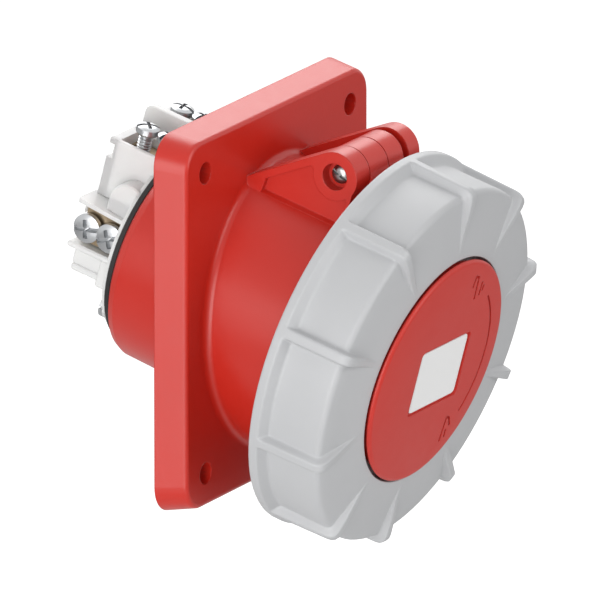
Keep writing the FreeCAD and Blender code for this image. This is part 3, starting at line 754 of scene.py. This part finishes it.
def makeCover(v):
    n = v["columns"]
    circle = aroundCircle(n)
    arc = []
    for k in range(v["arcSteps"] + 1):
        a = math.radians(-v["arcTurn"] + 2 * v["arcTurn"] * k / v["arcSteps"])
        arc.append((v["arcR"] * math.cos(a), v["arcR"] * math.sin(a)))
    sunk = [(strokeLoop(line, v["strokeHalf"]), v["markDepth"]) for line in v["marks"]]
    sunk.append((strokeLoop(arc, v["arcHalf"]), v["arcDepth"]))
    sunk.append((roundedLoop(plateShape["corners"], plateShape["round"], v["seatGap"]), v["seatDepth"]))
    flat = [Vector((v["flatR"] * c, v["flatR"] * d)) for c, d in circle]
    edges = [(i, (i + 1) % n) for i in range(n)]
    spans = []
    for loop, depth in sunk:
        base = len(flat)
        flat += [Vector(q) for q in loop]
        edges += [(base + i, base + (i + 1) % len(loop)) for i in range(len(loop))]
        spans.append((base, len(loop)))
    verts, _, triangles, cameFrom, _, _ = delaunay_2d_cdt(flat, edges, [], 0, v["weld"])
    points = [fromSocket(q.x, q.y, v["front"]) for q in verts]
    spot = {}
    for i, sources in enumerate(cameFrom):
        for k in sources:
            spot[k] = i
    # Triangles inside a sunk loop go down to its floor
    faces = []
    floors = [{} for loop in sunk]
    for tri in triangles:
        x = sum(verts[i].x for i in tri) / 3.0
        up = sum(verts[i].y for i in tri) / 3.0
        inside = [k for k in range(len(sunk)) if inLoop(x, up, sunk[k][0])]
        if not inside:
            faces.append(tuple(tri))
            continue
        floor = floors[inside[0]]
        for i in tri:
            if i not in floor:
                floor[i] = len(points)
                points.append(fromSocket(verts[i].x, verts[i].y, v["front"] - sunk[inside[0]][1]))
        faces.append(tuple(floor[i] for i in tri))
    # Walls round each floor
    for (base, count), floor in zip(spans, floors):
        for i in range(count):
            a = spot[base + i]
            b = spot[base + (i + 1) % count]
            faces.append((a, b, floor[b], floor[a]))
    # Edge and back
    before = [spot[k] for k in range(n)]
    for r, s in v["edge"]:
        row = [len(points) + k for k in range(n)]
        points += [fromSocket(r * c, r * d, s) for c, d in circle]
        faces += [(before[k], before[(k + 1) % n], row[(k + 1) % n], row[k]) for k in range(n)]
        before = row
    faces.append(tuple(before))
    cover = makePiece("coverSkin", points, faces, "redCover", "lid", v["crisp"])
    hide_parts("lid_cover")


def makePlate(v):
    rows = [(0.0, v["low"]), (0.0, v["high"] - v["chamfer"]), (-v["chamfer"], v["high"])]
    points = []
    for grow, s in rows:
        points += [fromSocket(x, up, s) for x, up in roundedLoop(v["corners"], v["round"], grow)]
    faces = tubeFaces(len(rows), len(points) // len(rows))
    plate = makePiece("ratingPlate", points, faces, "labelPlate", "lid", v["crisp"])
    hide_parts("label")


makeCover(coverShape)
makePlate(plateShape)
print("cover and plate made")


# Stage: a pale floor below the held socket, white to the camera, and soft lamps
stageLook = {
    "floorHalf": 4.0, "floorZ": -0.45, "floorColour": (0.6, 0.6, 0.6, 1), "floorRough": 0.9, "floorGlow": 0.8,
    "worldLight": 0.45, "worldMirrored": 1.0, "worldShown": 1.0,
    # Each lamp: azimuth, elevation, distance, width, height, power
    "lamps": {
        "keyLamp": (-84, 2, 1.1, 0.8, 0.9, 8.2),
        "rearLamp": (132, 46, 1.0, 1.2, 0.8, 8.2),
        "lowLamp": (-60, -28, 0.85, 0.7, 0.4, 0.5),
        "fillLamp": (2, 22, 1.3, 0.8, 0.8, 5.6),
    },
}


def makeFloor(v):
    h = v["floorHalf"]
    z = v["floorZ"]
    mesh = bpy.data.meshes.new("floor")
    mesh.from_pydata([(-h, -h, z), (h, -h, z), (h, h, z), (-h, h, z)], [], [(0, 1, 2, 3)])
    floor = newObject("floor", mesh)
    mat = bpy.data.materials.new("floorPaint")
    mat.use_nodes = True
    tree = mat.node_tree
    shader = tree.nodes["Principled BSDF"]
    shader.inputs["Base Color"].default_value = v["floorColour"]
    shader.inputs["Roughness"].default_value = v["floorRough"]
    glow = tree.nodes.new("ShaderNodeEmission")
    path = tree.nodes.new("ShaderNodeLightPath")
    lift = mathNode(tree, "MULTIPLY", path.outputs["Is Camera Ray"], v["floorGlow"])
    tree.links.new(lift, glow.inputs["Strength"])
    both = tree.nodes.new("ShaderNodeAddShader")
    tree.links.new(shader.outputs[0], both.inputs[0])
    tree.links.new(glow.outputs[0], both.inputs[1])
    tree.links.new(both.outputs[0], tree.nodes["Material Output"].inputs["Surface"])
    mesh.materials.append(mat)


# The world shows white, is mirrored at one strength and lights the object at another
def makeWorld(v):
    world = bpy.data.worlds.new("studio")
    bpy.context.scene.world = world
    world.use_nodes = True
    tree = world.node_tree
    soft = tree.nodes["Background"]
    soft.inputs["Color"].default_value = (1, 1, 1, 1)
    white = tree.nodes.new("ShaderNodeBackground")
    white.inputs["Strength"].default_value = v["worldShown"]
    path = tree.nodes.new("ShaderNodeLightPath")
    extra = mathNode(tree, "MULTIPLY", path.outputs["Is Glossy Ray"], v["worldMirrored"] - v["worldLight"])
    tree.links.new(mathNode(tree, "ADD", extra, v["worldLight"]), soft.inputs["Strength"])
    pick = tree.nodes.new("ShaderNodeMixShader")
    tree.links.new(path.outputs["Is Camera Ray"], pick.inputs["Fac"])
    tree.links.new(soft.outputs[0], pick.inputs[1])
    tree.links.new(white.outputs[0], pick.inputs[2])
    tree.links.new(pick.outputs[0], tree.nodes["World Output"].inputs["Surface"])


def softBox(name, azimuth, elevation, distance, width, height, power):
    data = bpy.data.lights.new(name, "AREA")
    data.shape = "RECTANGLE"
    data.size = width
    data.size_y = height
    data.energy = power
    placeFacing(name, data, azimuth, elevation, distance)


makeFloor(stageLook)
makeWorld(stageLook)
for lampName, lamp in stageLook["lamps"].items():
    softBox(lampName, *lamp)
print("stage and lamps set")
